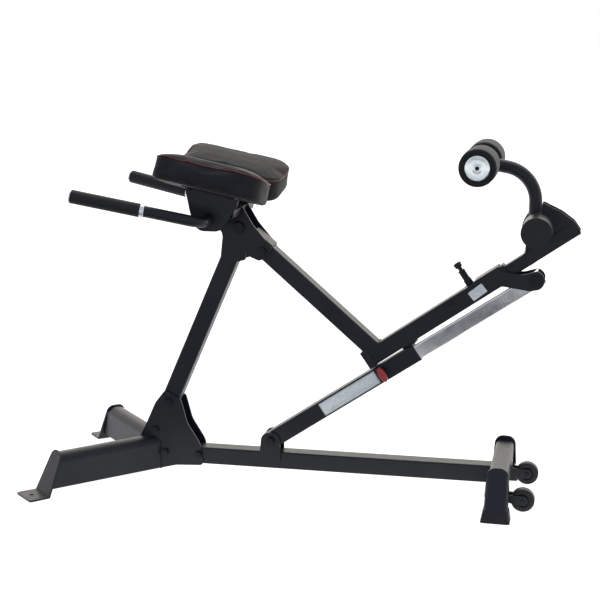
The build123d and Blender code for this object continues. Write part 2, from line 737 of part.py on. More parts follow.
def strut_guide():
    bore = STRUT_INNER + 0.6
    angle = strut_angle()
    sleeve = block(STRUT_LOWER, angle, STRUT_TUBE_END - 26, STRUT_TUBE_END, GUIDE_SLEEVE, TUBE_CORNER / 2)
    lip = block(STRUT_LOWER, angle, STRUT_TUBE_END, STRUT_TUBE_END + 3, MOVING_TUBE)
    return sleeve + lip - block(STRUT_LOWER, angle, STRUT_TUBE_END - 30, STRUT_TUBE_END + 5, bore)


def strut_inner_tube():
    end = strut_length() + STRUT_INNER_PAST
    tube = square_tube(STRUT_LOWER, strut_angle(), STRUT_INNER_START, end, STRUT_INNER)
    return drill(tube, [STRUT_UPPER], STRUT_EYE_RADIUS)


# ---------------------------------------------------------------- foot end
def extension_tube():
    tube = square_tube(FOOT_SPOT, FOOT_ANGLE, EXTENSION_START, EXTENSION_END - 3, EXTENSION_TUBE)
    plane = foot_pin_plane()
    c, s = heading(FOOT_ANGLE)
    for step in range(LOCK_HOLES):
        away = -LOCK_HOLE_PITCH * step
        tube = tube - Pos(away * c, 0, away * s) * extrude(plane * Circle(4), EXTENSION_TUBE)
    return tube


def foot_end_caps():
    cap = block(FOOT_SPOT, FOOT_ANGLE, EXTENSION_END - 3, EXTENSION_END, EXTENSION_TUBE)
    ends = cross_rod(FOOT_BAR_SPOT, FOOT_BAR_RADIUS - 1, FOOT_BAR_END, FOOT_BAR_END + 3)
    return cap + both_sides(ends)


def foot_brackets():
    low = place(FOOT_SPOT, FOOT_ANGLE, 292, -EXTENSION_TUBE / 2)
    points = [low, (693, 689), (676, 713), (646, 735), (606, 754), (598, 757)]
    points += [(597, 735), (565, 700), (560, 640)]
    inner = EXTENSION_TUBE / 2
    return both_sides(plate(outline(points, [6, 4, 12, 50, 4, 2, 10, 20, 20]), inner, inner + 4))


def lower_foot_bar():
    """Left foot bar, a closed tube welded to its bracket."""
    bar = cross_rod(FOOT_BAR_SPOT, FOOT_BAR_RADIUS, EXTENSION_TUBE / 2 + 4, FOOT_BAR_END)
    return bar - cross_rod(FOOT_BAR_SPOT, FOOT_BAR_RADIUS - TUBE_WALL, EXTENSION_TUBE / 2 + 6, FOOT_BAR_END)


def arm_path():
    x, z = ROLLER_SPOT
    corner = z - (ARM_X - x) * math.tan(math.radians(ARM_RISE))
    return FilletPolyline((ARM_X, 0, 620), (ARM_X, 0, corner), (x, 0, z), radius=ARM_BEND)


def roller_arm():
    path = arm_path()
    section = Plane(origin=path @ 0, z_dir=path % 0)
    skin = sweep(section * Circle(ARM_RADIUS), path=path)
    hollow = sweep(section * Circle(ARM_RADIUS - TUBE_WALL), path=path)
    under = block(FOOT_SPOT, FOOT_ANGLE, 0, EXTENSION_END, EXTENSION_TUBE)
    return skin - hollow - under - through_rod(ROLLER_SPOT, AXLE_RADIUS, 100)


def roller_axle():
    axle = through_rod(ROLLER_SPOT, AXLE_RADIUS, ROLLER_END)
    return axle - through_rod(ROLLER_SPOT, AXLE_RADIUS - TUBE_WALL, ROLLER_END)


def ankle_roller():
    roller = cross_rod(ROLLER_SPOT, ROLLER_RADIUS, ROLLER_START, ROLLER_END)
    roller = fillet(roller.edges().filter_by(GeomType.CIRCLE), 5)
    return drill(roller, [ROLLER_SPOT], AXLE_RADIUS + PIN_GAP)


def roller_cap():
    return cross_rod(ROLLER_SPOT, ROLLER_CAP_RADIUS, ROLLER_END + FIT_GAP, ROLLER_END + FIT_GAP + 2.5)


# ---------------------------------------------------------------- build
# Pieces laid out on the frame's own lines.
FRAME_PIECES = [
    upright, base_gussets, base_gusset_bolts, pivot_gussets, tilt_pivot_bolt, tilt_pivot_sleeve,
    strut_brackets, strut_lower_bolt, down_tube, foot_tube, foot_tube_cap, head_plates, tilt_bushings,
    head_bridge_plate, head_spacers, head_bolt, pad_cross_beam, handle_cross_tube, grip_collars,
    strut_clevis_plates, strut_upper_bolt, foot_tube_guide, underside_bumper, foot_pin_housing, foot_pin,
    strut_pin_housing, strut_pin, strut_outer_tube, strut_guide, strut_inner_tube, extension_tube,
    foot_end_caps, foot_brackets, roller_arm, roller_axle,
]
FRAME_GROUPS = {
    "pad_supports": pad_support,
    "pad_boards": pad_board,
    "pad_screws": pad_screws,
    "handle_grips": handle_grip,
    "lower_foot_bars": lower_foot_bar,
    "roller_caps": roller_cap,
}
FRAME_PAIRS = [thigh_pad, handle_arm, ankle_roller]
# Pieces laid out on the floor.
STAND_PIECES = [base_tube, rear_crossbar]
STAND_GROUPS = {"rear_foot_caps": rear_foot_cap, "wheel_brackets": wheel_bracket, "wheel_axles": wheel_axle}
STAND_PAIRS = [rear_leg, front_leg, front_foot_plate, wheel]


def main():
    os.makedirs("parts", exist_ok=True)
    for piece in FRAME_PIECES:
        save(piece.__name__, set_on_stands(piece()))
    for name, piece in FRAME_GROUPS.items():
        save(name, set_on_stands(both_sides(piece())))
    for piece in FRAME_PAIRS:
        save_both_sides(piece.__name__, set_on_stands(piece()))
    for piece in STAND_PIECES:
        save(piece.__name__, piece())
    for name, piece in STAND_GROUPS.items():
        save(name, both_sides(piece()))
    for piece in STAND_PAIRS:
        save_both_sides(piece.__name__, piece())


main()
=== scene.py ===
import json
import math

import bmesh
import bpy
from mathutils import Matrix, Vector
from mathutils.bvhtree import BVHTree


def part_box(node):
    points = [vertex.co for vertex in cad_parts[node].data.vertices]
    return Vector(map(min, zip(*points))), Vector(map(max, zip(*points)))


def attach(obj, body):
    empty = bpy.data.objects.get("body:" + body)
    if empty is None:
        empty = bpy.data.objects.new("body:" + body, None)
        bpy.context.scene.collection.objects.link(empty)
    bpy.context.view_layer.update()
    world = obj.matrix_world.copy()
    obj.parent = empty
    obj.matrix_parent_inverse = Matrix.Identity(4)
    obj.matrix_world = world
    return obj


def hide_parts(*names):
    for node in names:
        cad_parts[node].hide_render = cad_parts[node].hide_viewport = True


# Roman chair: finishes, cushions, labels and small trim around the fixed CAD frame.
# Metres, +Z up, +X towards the foot end, the "left" side is -Y.

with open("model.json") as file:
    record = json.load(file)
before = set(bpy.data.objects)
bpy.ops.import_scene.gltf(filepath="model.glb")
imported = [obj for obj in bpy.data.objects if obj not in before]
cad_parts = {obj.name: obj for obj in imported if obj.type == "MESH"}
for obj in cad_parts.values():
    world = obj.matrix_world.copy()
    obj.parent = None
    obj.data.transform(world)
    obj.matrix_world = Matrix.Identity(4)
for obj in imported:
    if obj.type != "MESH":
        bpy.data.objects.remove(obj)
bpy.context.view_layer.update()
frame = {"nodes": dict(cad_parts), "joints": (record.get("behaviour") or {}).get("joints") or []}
NODES = frame["nodes"]
SCENE = bpy.context.scene


# ---------------------------------------------------------------- places
FRAME_SLOPE = math.radians(0.69)  # of the base tube, and of everything laid out on its line
FRAME_SHIFT = (-0.00025, -0.00126)


def tip(x, y, z):
    """Point laid out on the base tube's line, in millimetres, as a place in the row frame."""
    c, s = math.cos(FRAME_SLOPE), math.sin(FRAME_SLOPE)
    x, y, z = x / 1000, y / 1000, z / 1000
    return Vector((x * c - z * s + FRAME_SHIFT[0], y, x * s + z * c + FRAME_SHIFT[1]))


def along(spot, angle, forward, up=0.0):
    """(x, z) spot, in millimetres, reached along a tube's line and then to its upper side."""
    c, s = math.cos(math.radians(angle)), math.sin(math.radians(angle))
    return spot[0] + forward * c - up * s, spot[1] + forward * s + up * c


def axes_frame(origin, x_dir, y_dir, z_dir):
    """Matrix from a piece's own axes to the row frame."""
    rows = [[x_dir[i], y_dir[i], z_dir[i], origin[i]] for i in range(3)]
    return Matrix(rows + [[0, 0, 0, 1]])


# ---------------------------------------------------------------- materials
class Finish:
    """A procedural finish: one principled shader and the nodes that feed it."""

    def __init__(self, name, roughness, **sockets):
        self.material = bpy.data.materials.new(name)
        self.material.use_nodes = True
        self.tree = self.material.node_tree
        self.shader = self.tree.nodes["Principled BSDF"]
        self.shader.inputs["Roughness"].default_value = roughness
        for socket, value in sockets.items():
            self.shader.inputs[socket.replace("_", " ")].default_value = value
        self.place = self.add("ShaderNodeTexCoord").outputs["Object"]
        self.normal = None

    def add(self, kind, **values):
        node = self.tree.nodes.new(kind)
        for key, value in values.items():
            setattr(node, key, value)
        return node

    def link(self, source, target):
        self.tree.links.new(source, target)

    def stretched(self, scale):
        mapping = self.add("ShaderNodeMapping")
        mapping.inputs["Scale"].default_value = scale
        self.link(self.place, mapping.inputs["Vector"])
        return mapping.outputs["Vector"]

    def noise(self, scale, detail=2.0, rough=0.5, stretch=None):
        node = self.add("ShaderNodeTexNoise")
        node.inputs["Scale"].default_value = scale
        node.inputs["Detail"].default_value = detail
        node.inputs["Roughness"].default_value = rough
        self.link(self.stretched(stretch) if stretch else self.place, node.inputs["Vector"])
        return node.outputs["Fac"]

    def cells(self, scale, feature="F1", stretch=None):
        node = self.add("ShaderNodeTexVoronoi", feature=feature)
        node.inputs["Scale"].default_value = scale
        self.link(self.stretched(stretch) if stretch else self.place, node.inputs["Vector"])
        return node.outputs["Distance"]

    def ramp(self, factor, stops):
        node = self.add("ShaderNodeValToRGB")
        elements = node.color_ramp.elements
        while len(elements) < len(stops):
            elements.new(0.5)
        for element, (position, colour) in zip(elements, stops):
            element.position = position
            element.color = (*colour, 1.0) if len(colour) == 3 else colour
        self.link(factor, node.inputs["Fac"])
        return node.outputs["Color"]

    def colour(self, source):
        self.link(source, self.shader.inputs["Base Color"])

    def rough_from(self, factor, low, high):
        node = self.add("ShaderNodeMapRange")
        node.inputs["To Min"].default_value = low
        node.inputs["To Max"].default_value = high
        self.link(factor, node.inputs["Value"])
        self.link(node.outputs["Result"], self.shader.inputs["Roughness"])

    def bump(self, height, depth, strength=1.0):
        """Adds relief; depth is the real height in metres."""
        node = self.add("ShaderNodeBump")
        node.inputs["Strength"].default_value = strength
        node.inputs["Distance"].default_value = depth
        self.link(height, node.inputs["Height"])
        if self.normal:
            self.link(self.normal, node.inputs["Normal"])
        self.normal = node.outputs["Normal"]
        self.link(self.normal, self.shader.inputs["Normal"])

    def soften_edges(self, radius):
        """Rounds the look of sharp plate edges."""
        node = self.add("ShaderNodeBevel", samples=6)
        node.inputs["Radius"].default_value = radius
        self.normal = node.outputs["Normal"]
        self.link(self.normal, self.shader.inputs["Normal"])


def powder_coat():
    f = Finish("black_powder_coat_finish", 0.4, Specular_IOR_Level=0.3)
    f.soften_edges(0.0009)
    cloud = f.noise(9.0, 3.0)
    f.colour(f.ramp(cloud, [(0.3, (0.0066, 0.0074, 0.0104)), (0.7, (0.0112, 0.0124, 0.0166))]))
    f.rough_from(f.noise(60.0, 3.0), 0.33, 0.46)
    f.bump(f.noise(1400.0, 2.0), 0.00005, 0.5)
    f.bump(f.noise(260.0, 1.0), 0.00008, 0.35)
    return f.material


def chrome():
    f = Finish("chromed_tube_finish", 0.12, Metallic=1.0)
    f.soften_edges(0.0006)
    f.colour(f.ramp(f.noise(14.0, 3.0), [(0.3, (0.70, 0.71, 0.73)), (0.7, (0.82, 0.83, 0.84))]))
    f.rough_from(f.noise(900.0, 2.0, stretch=(0.05, 1.0, 0.05)), 0.10, 0.22)
    f.bump(f.noise(700.0, 2.0), 0.00001, 0.3)
    return f.material


def zinc():
    f = Finish("zinc_steel_finish", 0.35, Metallic=1.0)
    f.soften_edges(0.0004)
    f.colour(f.ramp(f.cells(240.0), [(0.0, (0.42, 0.43, 0.44)), (1.0, (0.62, 0.63, 0.63))]))
    f.rough_from(f.noise(300.0, 3.0), 0.28, 0.45)
    f.bump(f.noise(900.0, 2.0), 0.00003, 0.4)
    return f.material


def fastener_black():
    f = Finish("black_fasteners_finish", 0.42, Specular_IOR_Level=0.25)
    f.soften_edges(0.0005)
    f.colour(f.ramp(f.noise(120.0, 3.0), [(0.3, (0.006, 0.0066, 0.009)), (0.75, (0.011, 0.012, 0.0155))]))
    f.rough_from(f.noise(400.0, 2.0), 0.36, 0.5)
    f.bump(f.noise(1500.0, 1.0), 0.00003, 0.4)
    return f.material


def brushed_trim():
    f = Finish("brushed_trim_finish", 0.25, Metallic=1.0)
    f.soften_edges(0.0005)
    f.colour(f.ramp(f.noise(300.0, 2.0), [(0.3, (0.66, 0.67, 0.68)), (0.7, (0.80, 0.81, 0.82))]))
    f.rough_from(f.noise(1800.0, 2.0, stretch=(1.0, 0.04, 1.0)), 0.2, 0.38)
    f.bump(f.noise(2200.0, 1.0, stretch=(1.0, 0.04, 1.0)), 0.00002, 0.5)
    return f.material


def turned_face(axis):
    """Bright disc with the fine rings left by turning, about an axis along Y."""
    f = Finish("turned_cap_finish", 0.3, Metallic=1.0)
    shift = f.add("ShaderNodeMapping")
    shift.inputs["Location"].default_value = (-axis.x, 0, -axis.z)
    f.link(f.place, shift.inputs["Vector"])
    rings = f.add("ShaderNodeTexWave", wave_type="RINGS", rings_direction="Y")
    rings.inputs["Scale"].default_value = 90.0
    rings.inputs["Distortion"].default_value = 0.4
    f.link(shift.outputs["Vector"], rings.inputs["Vector"])
    tone = f.noise(240.0, 3.0)
    f.colour(f.ramp(tone, [(0.3, (0.80, 0.84, 0.82)), (0.7, (0.92, 0.95, 0.93))]))
    f.rough_from(rings.outputs["Fac"], 0.2, 0.36)
    f.bump(rings.outputs["Fac"], 0.00012, 0.7)
    return f.material


def bronze():
    f = Finish("bushing_bronze_finish", 0.35, Metallic=1.0)
    f.soften_edges(0.0004)
    f.colour(f.ramp(f.noise(400.0, 4.0), [(0.3, (0.30, 0.18, 0.08)), (0.7, (0.46, 0.30, 0.14))]))
    f.rough_from(f.noise(500.0, 2.0), 0.3, 0.5)
    f.bump(f.cells(1200.0), 0.00003, 0.4)
    return f.material


def moulded_plastic(name, dark, light, roughness):
    f = Finish(name, roughness, Specular_IOR_Level=0.32)
    f.soften_edges(0.0007)
    f.colour(f.ramp(f.noise(40.0, 3.0), [(0.3, dark), (0.7, light)]))
    f.rough_from(f.noise(150.0, 2.0), roughness - 0.06, roughness + 0.08)
    f.bump(f.cells(900.0), 0.00004, 0.5)
    return f.material


def rubber():
    f = Finish("black_rubber_finish", 0.62, Specular_IOR_Level=0.35)
    f.soften_edges(0.001)
    f.colour(f.ramp(f.noise(70.0, 4.0), [(0.3, (0.005, 0.005, 0.0055)), (0.75, (0.010, 0.010, 0.0105))]))
    f.rough_from(f.noise(240.0, 2.0), 0.52, 0.72)
    f.bump(f.noise(1100.0, 3.0), 0.00010, 0.5)
    return f.material


def foam():
    """Skinned foam: closed cells that break the skin, with a slight nap; each pore's pit is darkened with
    painted shade.
    """
    f = Finish("roller_foam_finish", 0.78, Specular_IOR_Level=0.25)
    f.shader.inputs["Sheen Weight"].default_value = 0.12
    f.shader.inputs["Sheen Roughness"].default_value = 0.5
    pores_and_pit_shade = f.cells(620.0)
    # The colour is darkest at each pore's middle, where the bump sinks deepest: painted shade in the pits.
    stops = [(0.0, (0.003, 0.003, 0.0035)), (0.35, (0.008, 0.0078, 0.008)), (1.0, (0.014, 0.0135, 0.0135))]
    f.colour(f.ramp(pores_and_pit_shade, stops))
    f.rough_from(f.noise(90.0, 3.0), 0.7, 0.88)
    f.bump(pores_and_pit_shade, 0.00022, 0.55)
    f.bump(f.noise(55.0, 2.0), 0.0006, 0.25)
    return f.material


def upholstery():
    """Leatherette: pebbled grain with fine creases and a soft gloss."""
    f = Finish("black_upholstery_finish", 0.6, Specular_IOR_Level=0.2)
    grain = f.cells(520.0, "DISTANCE_TO_EDGE")
    f.colour(f.ramp(f.noise(28.0, 4.0), [(0.3, (0.0085, 0.0084, 0.0105)), (0.72, (0.0145, 0.0140, 0.0160))]))
    f.rough_from(f.noise(75.0, 4.0), 0.52, 0.68)
    f.bump(grain, 0.00016, 0.45)
    f.bump(f.noise(35.0, 3.0), 0.0005, 0.25)
    return f.material


def plywood():
    f = Finish("pad_plywood_finish", 0.7, Specular_IOR_Level=0.3)
    grain = f.noise(60.0, 5.0, 0.6, stretch=(1.0, 9.0, 12.0))
    f.colour(f.ramp(grain, [(0.3, (0.016, 0.013, 0.011)), (0.7, (0.040, 0.031, 0.024))]))
    f.rough_from(grain, 0.6, 0.82)
    f.bump(grain, 0.0002, 0.4)
    return f.material


def red_knob():
    f = Finish("red_knob_finish", 0.22, Coat_Weight=0.4, Coat_Roughness=0.12)
    f.colour(f.ramp(f.noise(90.0, 3.0), [(0.3, (0.27, 0.008, 0.008)), (0.7, (0.36, 0.014, 0.012))]))
    f.rough_from(f.noise(260.0, 2.0), 0.18, 0.3)
    f.bump(f.noise(320.0, 2.0), 0.00005, 0.4)
    return f.material


def red_piping():
    f = Finish("red_piping_finish", 0.5, Specular_IOR_Level=0.4)
    f.colour(f.ramp(f.noise(160.0, 3.0), [(0.3, (0.050, 0.005, 0.009)), (0.7, (0.090, 0.010, 0.014))]))
    f.rough_from(f.noise(300.0, 2.0), 0.42, 0.6)
    f.bump(f.cells(900.0), 0.00012, 0.5)
    return f.material


def thread():
    f = Finish("stitching_thread_finish", 0.65, Specular_IOR_Level=0.35)
    f.colour(f.ramp(f.noise(700.0, 2.0), [(0.3, (0.055, 0.006, 0.007)), (0.7, (0.105, 0.012, 0.013))]))
    f.bump(f.noise(2400.0, 2.0, stretch=(0.4, 1.0, 1.0)), 0.0001, 0.6)
    return f.material


def label_paper():
    """Blank printed film: pale, with faint handling marks."""
    f = Finish("label_film_finish", 0.32, Specular_IOR_Level=0.5)
    f.colour(f.ramp(f.noise(110.0, 4.0), [(0.3, (0.56, 0.60, 0.58)), (0.72, (0.72, 0.75, 0.73))]))
    f.rough_from(f.noise(200.0, 2.0), 0.26, 0.42)
    f.bump(f.noise(160.0, 2.0), 0.00005, 0.3)
    return f.material


def label_ink():
    f = Finish("label_ink_finish", 0.4)
    f.colour(f.ramp(f.noise(900.0, 2.0), [(0.3, (0.10, 0.11, 0.12)), (0.7, (0.17, 0.18, 0.20))]))
    f.bump(f.noise(900.0, 1.0), 0.00002, 0.2)
    return f.material


def floor_finish():
    f = Finish("pale_floor_finish", 0.7, Specular_IOR_Level=0.1)
    f.shader.inputs["Emission Color"].default_value = (1.0, 1.0, 1.0, 1.0)
    f.shader.inputs["Emission Strength"].default_value = 0.93
    f.colour(f.ramp(f.noise(1.5, 3.0), [(0.3, (0.33, 0.33, 0.33)), (0.7, (0.37, 0.37, 0.37))]))
    f.rough_from(f.noise(8.0, 2.0), 0.62, 0.8)
    return f.material


FINISHES = {
    "black_powder_coat": powder_coat(),
    "chromed_tube": chrome(),
    "zinc_steel": zinc(),
    "black_fasteners": fastener_black(),
    "brushed_trim": brushed_trim(),
    "bushing_bronze": bronze(),
    "black_plastic": moulded_plastic(
        "black_plastic_finish", (0.006, 0.006, 0.007), (0.012, 0.012, 0.013), 0.42
    ),
    "black_rubber": rubber(),
    "roller_foam": foam(),
    "wheel_plastic": moulded_plastic(
        "wheel_plastic_finish", (0.008, 0.008, 0.009), (0.016, 0.016, 0.018), 0.48
    ),
    "black_upholstery": upholstery(),
    "pad_plywood": plywood(),
    "red_knob": red_knob(),
}
RED_PIPING = red_piping()
THREAD = thread()
LABEL_FILM = label_paper()
LABEL_INK = label_ink()


def paint_cad_nodes():
    for node in NODES.values():
        for slot in node.material_slots:
            base = slot.material.name.split(".")[0]
            slot.material = FINISHES[base]


# ---------------------------------------------------------------- piece helpers
def new_piece(name, mesh, material, body):
    piece = bpy.data.objects.new(name, mesh)
    SCENE.collection.objects.link(piece)
    if not mesh.materials:
        mesh.materials.append(material)
    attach(piece, body)
    return piece


def slot_piece(name, mesh, slot, body):
    """Piece that wears the finish of a CAD material slot."""
    return new_piece(name, mesh, FINISHES[slot], body)


def smooth_mesh(name, builder, place=None, sharp=None):
    """Mesh from a bmesh builder, in the row frame, shaded smooth."""
    mesh = bpy.data.meshes.new(name)
    bm = bmesh.new()
    builder(bm)
    bmesh.ops.recalc_face_normals(bm, faces=bm.faces)
    if place:
        bmesh.ops.transform(bm, matrix=place, verts=bm.verts)
    bm.to_mesh(mesh)
    bm.free()
    for polygon in mesh.polygons:
        polygon.use_smooth = True
    if sharp:
        mesh.set_sharp_from_angle(angle=math.radians(sharp))
    return mesh


def lathe(bm, profile, segments=64):
    """Turned shape about local Z from (radius, height) pairs; a radius of 0 closes an end."""
    rings = []
    for radius, height in profile:
        if radius == 0:
            rings.append([bm.verts.new((0, 0, height))])
            continue
        ring = []
        for k in range(segments):
            a = 2 * math.pi * k / segments
            ring.append(bm.verts.new((radius * math.cos(a), radius * math.sin(a), height)))
        rings.append(ring)
    for low, high in zip(rings, rings[1:]):
        for k in range(segments):
            n = (k + 1) % segments
            if len(low) == 1:
                bm.faces.new((low[0], high[k], high[n]))
            elif len(high) == 1:
                bm.faces.new((low[k], low[n], high[0]))
            else:
                bm.faces.new((low[k], low[n], high[n], high[k]))


def tube_rings(bm, points, radii, sides, closed):
    """Round skin along a line of points with its own radius at each."""
    count = len(points)
    rings = []
    side = None
    for i, point in enumerate(points):
        before = points[i - 1] if closed or i else point
        after = points[(i + 1) % count] if closed or i < count - 1 else point
        tangent = (after - before).normalized()
        if side is None:
            side = tangent.orthogonal().normalized()
        side = (side - tangent * side.dot(tangent)).normalized()
        other = tangent.cross(side)
        ring = []
        for k in range(sides):
            a = 2 * math.pi * k / sides
            ring.append(bm.verts.new(point + (side * math.cos(a) + other * math.sin(a)) * radii[i]))
        rings.append(ring)
    pairs = list(zip(rings, rings[1:]))
    if closed:
        pairs.append((rings[-1], rings[0]))
    for low, high in pairs:
        for k in range(sides):
            n = (k + 1) % sides
            bm.faces.new((low[k], low[n], high[n], high[k]))
    if not closed:
        bm.faces.new(rings[0])
        bm.faces.new(rings[-1])


def spaced_points(corners, step, closed):
    """Points a step apart along straight runs."""
    runs = list(zip(corners, corners[1:]))
    if closed:
        runs.append((corners[-1], corners[0]))
    points = []
    for start, end in runs:
        count = max(1, round((end - start).length / step))
        points += [start.lerp(end, k / count) for k in range(count)]
    if not closed:
        points.append(corners[-1])
    return points


def weld_bead(name, corners, radius, body, closed=False):
    """Rippled bead of weld metal along straight runs, under the paint."""
    step = 0.0011
    points = spaced_points(corners, step, closed)
    radii = [radius * (0.86 + 0.2 * abs(math.sin(0.9 * i))) for i in range(len(points))]
    mesh = smooth_mesh(name, lambda bm: tube_rings(bm, points, radii, 8, closed))
    return slot_piece(name, mesh, "black_powder_coat", body)


def bevelled_slab(bm, outline, thickness, bevel):
    """Thin plate on local XY with softened edges."""
    bottom = [bm.verts.new((x, y, 0)) for x, y in outline]
    face = bm.faces.new(bottom)
    extruded = bmesh.ops.extrude_face_region(bm, geom=[face])
    raised = [v for v in extruded["geom"] if isinstance(v, bmesh.types.BMVert)]
    bmesh.ops.translate(bm, vec=(0, 0, thickness), verts=raised)
    rim = [e for e in bm.edges if all(v in raised for v in e.verts)]
    bmesh.ops.bevel(bm, geom=rim, offset=bevel, segments=2, affect="EDGES", profile=0.6)


def rounded_outline(half_x, half_y, radii, steps=8):
    """Rounded rectangle as (x, y) points, from the -x -y corner round; one radius a corner."""
    points = []
    corners = [(-1, -1), (1, -1), (1, 1), (-1, 1)]
    for k, ((sx, sy), radius) in enumerate(zip(corners, radii)):
        middle = (sx * (half_x - radius), sy * (half_y - radius))
        start = math.radians(180 + 90 * k)
        for step in range(steps + 1):
            a = start + math.radians(90) * step / steps
            points.append((middle[0] + radius * math.cos(a), middle[1] + radius * math.sin(a)))
    return points


# ---------------------------------------------------------------- thigh pads
PAD_TILT = math.radians(11.5) - FRAME_SLOPE
PAD_CANT = math.radians(12.5)
PAD_BOTTOM = 0.0012  # the board stands proud below the cover
PAD_TOP = 0.070  # at the crown
PAD_END_DROP = 0.010  # of the crowned top towards both ends
PAD_HALF_LENGTH = 0.139
PAD_HALF_WIDTH = 0.0845
PAD_HEAD_RADIUS = 0.030
PAD_FOOT_RADIUS = 0.048
PAD_ORIGIN = tip(-211.0, -108.0, 772.5)
SEAM_DROP = 0.0052  # of the piping below the crown


def pad_frame():
    """Left pad: local x towards the foot end, y inwards, z up out of the pad."""
    length = Vector((math.cos(PAD_TILT), 0, -math.sin(PAD_TILT)))
    flat_up = Vector((math.sin(PAD_TILT), 0, math.cos(PAD_TILT)))
    up = flat_up * math.cos(PAD_CANT) + Vector((0, 1, 0)) * math.sin(PAD_CANT)
    return axes_frame(PAD_ORIGIN, length, up.cross(length), up)


def pad_ring(inset, steps=10):
    head, foot = max(0.004, PAD_HEAD_RADIUS - inset), max(0.004, PAD_FOOT_RADIUS - inset)
    ring = rounded_outline(PAD_HALF_LENGTH - inset, PAD_HALF_WIDTH - inset, [head, foot, foot, head], steps)
    return [(x, y - 0.002) for x, y in ring]


def crown(x):
    """How far the top lies below its highest line at that place along the pad."""
    return PAD_END_DROP * (x / PAD_HALF_LENGTH) ** 2


def cushion_shell(bm):
    """The pad before it swells: slightly smaller, with a crowned top and a rounded rim."""
    levels = [(PAD_BOTTOM, 0.0015), (0.014, 0.0010), (0.034, 0.0022), (0.050, 0.0022)]
    levels += [(PAD_TOP - SEAM_DROP, 0.0016), (PAD_TOP - 0.0024, 0.0036), (PAD_TOP - 0.0008, 0.0085)]
    levels += [(PAD_TOP - 0.0002, 0.018), (PAD_TOP + 0.0006, 0.038), (PAD_TOP + 0.0010, 0.065)]
    rings = []
    for height, inset in levels:
        share = (height - PAD_BOTTOM) / (PAD_TOP - PAD_BOTTOM)
        rings.append([bm.verts.new((x, y, height - share * crown(x))) for x, y in pad_ring(inset)])
    for low, high in zip(rings, rings[1:]):
        for k in range(len(low)):
            n = (k + 1) % len(low)
            bm.faces.new((low[k], low[n], high[n], high[k]))
    bm.faces.new(rings[0])
    for k in range(len(rings[-1]) // 2 - 1):
        top = rings[-1]
        bm.faces.new((top[k], top[k + 1], top[-k - 2], top[-k - 1]))


def apply_modifiers(piece):
    bpy.context.view_layer.update()
    graph = bpy.context.evaluated_depsgraph_get()
    mesh = bpy.data.meshes.new_from_object(piece.evaluated_get(graph))
    old = piece.data
    piece.modifiers.clear()
    piece.data = mesh
    bpy.data.meshes.remove(old)


def swell(piece, most):
    """Inflates the remeshed foam like a stitched cover, with its underside held on the board."""
    rest = [v.co.copy() for v in piece.data.vertices]
    held = piece.vertex_groups.new(name="held")
    held.add([v.index for v in piece.data.vertices if v.co.z < PAD_BOTTOM + 0.008], 1.0, "REPLACE")
    cloth = piece.modifiers.new("cloth", "CLOTH")
    cloth.settings.quality = 6
    cloth.settings.mass = 0.3
    cloth.settings.tension_stiffness = 24
    cloth.settings.compression_stiffness = 24
    cloth.settings.shear_stiffness = 12
    cloth.settings.bending_stiffness = 1.5
    cloth.settings.use_pressure = True
    cloth.settings.uniform_pressure_force = 4.0
    cloth.settings.vertex_group_mass = "held"
    cloth.settings.effector_weights.gravity = 0.0
    cloth.point_cache.frame_start = 1
    cloth.point_cache.frame_end = 20
    for number in range(1, 21):
        SCENE.frame_set(number)
    graph = bpy.context.evaluated_depsgraph_get()
    swollen = [v.co.copy() for v in piece.evaluated_get(graph).data.vertices]
    piece.modifiers.remove(cloth)
    SCENE.frame_set(1)
    for vertex, start, end in zip(piece.data.vertices, rest, swollen):
        move = end - start
        if move.length > most:
            move *= most / move.length
        vertex.co = start + move


def surface_tree(mesh):
    corners = [v.co.copy() for v in mesh.vertices]
    return BVHTree.FromPolygons(corners, [tuple(p.vertices) for p in mesh.polygons])


def pinch_seam(mesh, seam, depth, reach):
    """Draws the cover in along a seam line."""
    tree = surface_tree(mesh)
    normals = [tree.find_nearest(point)[1] for point in seam]
    for vertex in mesh.vertices:
        nearest = min(range(len(seam)), key=lambda i: (vertex.co - seam[i]).length_squared)
        gap = (vertex.co - seam[nearest]).length
        if gap < reach:
            vertex.co -= normals[nearest] * depth * (1 - gap / reach) ** 2


def on_surface(mesh, points, lift):
    """Points moved onto the mesh, then out along its normal."""
    tree = surface_tree(mesh)
    landed = []
    for point in points:
        spot, normal, _, _ = tree.find_nearest(point)
        landed.append(spot + normal * lift)
    return landed


def seam_line(height, inset, step):
    """Closed line round the pad, at that height where the top is highest."""
    share = (height - PAD_BOTTOM) / (PAD_TOP - PAD_BOTTOM)
    flat = spaced_points([Vector((x, y, 0)) for x, y in pad_ring(inset, 12)], step, closed=True)
    return [Vector((point.x, point.y, height - share * crown(point.x))) for point in flat]


def stitch_mesh(bm, line, length, gap, radius):
    """Short raised stitches along a closed line."""
    travelled, start = 0.0, None
    for here, there in zip(line, line[1:] + line[:1]):
        if start is None:
            start, travelled = here, 0.0
        travelled += (there - here).length
        if travelled >= length + gap:
            direction = (there - start).normalized()
            middle = (start + there) / 2
            ends = [middle - direction * length / 2, middle, middle + direction * length / 2]
            tube_rings(bm, ends, [radius * 0.4, radius, radius * 0.4], 6, False)
            start = None


def cushion_mesh():
    shell = smooth_mesh("thigh_pad_shell", cushion_shell)
    piece = bpy.data.objects.new("thigh_pad_shell", shell)
    SCENE.collection.objects.link(piece)
    remesh = piece.modifiers.new("remesh", "REMESH")
    remesh.mode = "VOXEL"
    remesh.voxel_size = 0.005
    apply_modifiers(piece)
    swell(piece, 0.006)
    even = piece.modifiers.new("even", "SMOOTH")
    even.factor = 0.5
    even.iterations = 2
    fine = piece.modifiers.new("fine", "SUBSURF")
    fine.levels = 1
    fine.render_levels = 1
    apply_modifiers(piece)
    mesh = piece.data
    bpy.data.objects.remove(piece)
    return mesh


def mirrored(mesh, name):
    copy = mesh.copy()
    copy.name = name
    copy.transform(Matrix.Scale(-1, 4, Vector((0, 1, 0))))
    copy.flip_normals()
    return copy


